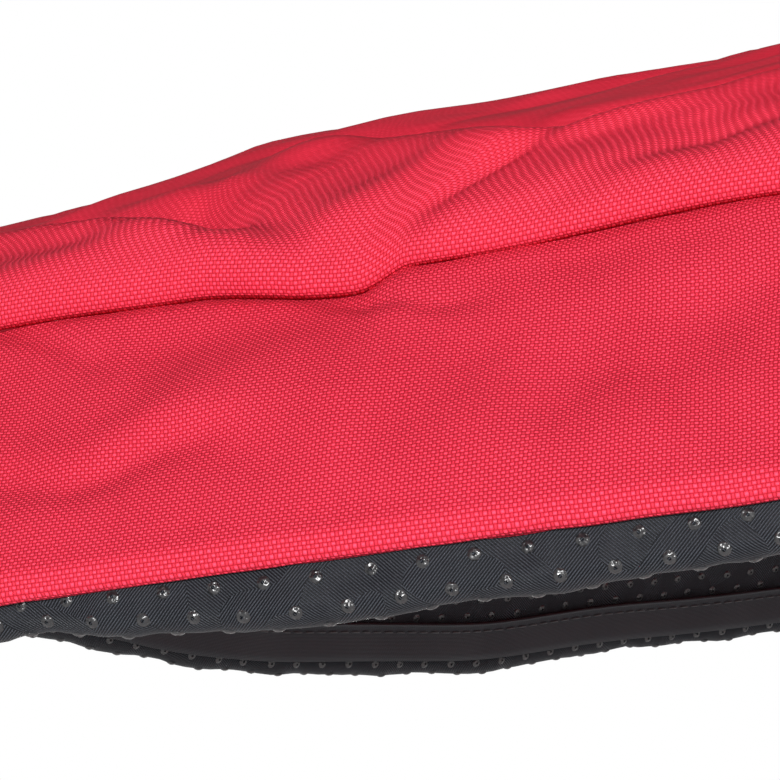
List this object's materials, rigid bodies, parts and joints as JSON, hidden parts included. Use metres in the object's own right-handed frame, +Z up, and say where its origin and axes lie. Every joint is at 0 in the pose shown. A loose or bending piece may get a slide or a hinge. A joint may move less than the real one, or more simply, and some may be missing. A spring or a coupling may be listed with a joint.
{
  "type": "kayak spray skirt",
  "caption": "Nylon kayak spray skirt with a sloped deck, corded hem with dotted grip strip, waist tunnel with suspenders, zip pocket and bow release loop.",
  "frame": {"origin": "centre of the hem plane, under the middle of the waist tunnel", "axes": "+X towards the bow, +Y to port, +Z up out of the cockpit"},
  "size_m": [1.0817, 0.56, 0.4023],
  "materials": {
    "deck_cloth": "coated woven nylon",
    "grip_cloth": "fine woven nylon with raised glossy dots",
    "black_tape": "plain woven tape",
    "webbing": "ribbed polypropylene webbing",
    "shock_cord": "braided sheath",
    "black_plastic": "moulded acetal",
    "grip_rubber": "moulded",
    "nickel": "nickel plated",
    "spring_steel": "drawn wire",
    "mesh": "open knit mesh"
  },
  "bodies": {
    "skirt": {"deck_front_panel": "deck_cloth", "deck_rear_panel": "deck_cloth", "side_band_left": "deck_cloth", "side_band_right": "deck_cloth", "grip_strip_left": "grip_cloth", "grip_strip_right": "grip_cloth", "hem_binding": "black_tape", "hem_shock_cord": "shock_cord", "hem_grommets": "nickel", "hem_cord_tips": "black_plastic", "tunnel_front_panel": "deck_cloth", "tunnel_rear_panel": "deck_cloth", "tunnel_base_binding": "black_tape", "tunnel_top_casing": "deck_cloth", "waist_shock_cord": "shock_cord", "waist_grommets": "nickel", "waist_cord_tips": "black_plastic", "strap_left": "webbing", "strap_right": "webbing", "strap_tab_left": "webbing", "strap_tab_right": "webbing", "strap_patch_left": "webbing", "strap_patch_right": "webbing", "buckle_socket_left": "black_plastic", "buckle_socket_right": "black_plastic", "grab_anchor": "webbing", "pocket_mesh": "mesh", "pocket_gusset": "deck_cloth", "zip_tapes": "black_tape", "zip_coil": "black_plastic", "zip_stops": "nickel"},
    "hem_lock": {"hem_lock_body": "black_plastic", "hem_lock_spring": "spring_steel"},
    "hem_button": {"hem_lock_button": "black_plastic"},
    "waist_lock": {"waist_lock_body": "black_plastic", "waist_lock_spring": "spring_steel"},
    "waist_button": {"waist_lock_button": "black_plastic"},
    "buckle_left": {"buckle_plug_left": "black_plastic"},
    "buckle_right": {"buckle_plug_right": "black_plastic"},
    "adjuster_left": {"strap_slider_left": "black_plastic"},
    "adjuster_right": {"strap_slider_right": "black_plastic"},
    "release_loop": {"grab_loop": "webbing", "grab_tube": "grip_rubber"},
    "zip_car": {"zip_slider": "nickel"},
    "zip_tab": {"zip_pull": "nickel"}
  },
  "joints": [
    {"name": "hem_lock_slide", "type": "slide", "parent": "skirt", "child": "hem_lock", "axis": [-1, 0, 0], "range_m": [0, 0.03]},
    {"name": "hem_button_press", "type": "slide", "parent": "hem_lock", "child": "hem_button", "axis": [0, 0, -1], "range_m": [0, 0.003], "stiffness_N_per_m": 600, "springref_m": -0.002, "deforming": ["hem_lock_spring"]},
    {"name": "waist_lock_slide", "type": "slide", "parent": "skirt", "child": "waist_lock", "axis": [0, 0, -1], "range_m": [0, 0.03]},
    {"name": "waist_button_press", "type": "slide", "parent": "waist_lock", "child": "waist_button", "axis": [-1, 0, 0], "range_m": [0, 0.003], "stiffness_N_per_m": 600, "springref_m": -0.002, "deforming": ["waist_lock_spring"]},
    {"name": "buckle_left_release", "type": "slide", "parent": "skirt", "child": "buckle_left", "axis": [0, 0, -1], "range_m": [0, 0.03], "deforming": ["strap_left"]},
    {"name": "buckle_right_release", "type": "slide", "parent": "skirt", "child": "buckle_right", "axis": [0, 0, -1], "range_m": [0, 0.03], "deforming": ["strap_right"]},
    {"name": "adjuster_left_slide", "type": "slide", "parent": "buckle_left", "child": "adjuster_left", "axis": [0, 0, -1], "range_m": [0, 0.02]},
    {"name": "adjuster_right_slide", "type": "slide", "parent": "buckle_right", "child": "adjuster_right", "axis": [0, 0, -1], "range_m": [0, 0.02]},
    {"name": "release_loop_swing", "type": "hinge", "parent": "skirt", "child": "release_loop", "pos_m": [0.5705, 0, 0.018], "axis": [0, -1, 0], "range_deg": [0, 75]},
    {"name": "zip_run", "type": "slide", "parent": "skirt", "child": "zip_car", "axis": [0, 1, 0], "range_m": [0, 0.095]},
    {"name": "zip_tab_swing", "type": "hinge", "parent": "zip_car", "child": "zip_tab", "pos_m": [0.1442, -0.047, 0.235], "axis": [0, -1, 0], "range_deg": [0, 100]}
  ]
}
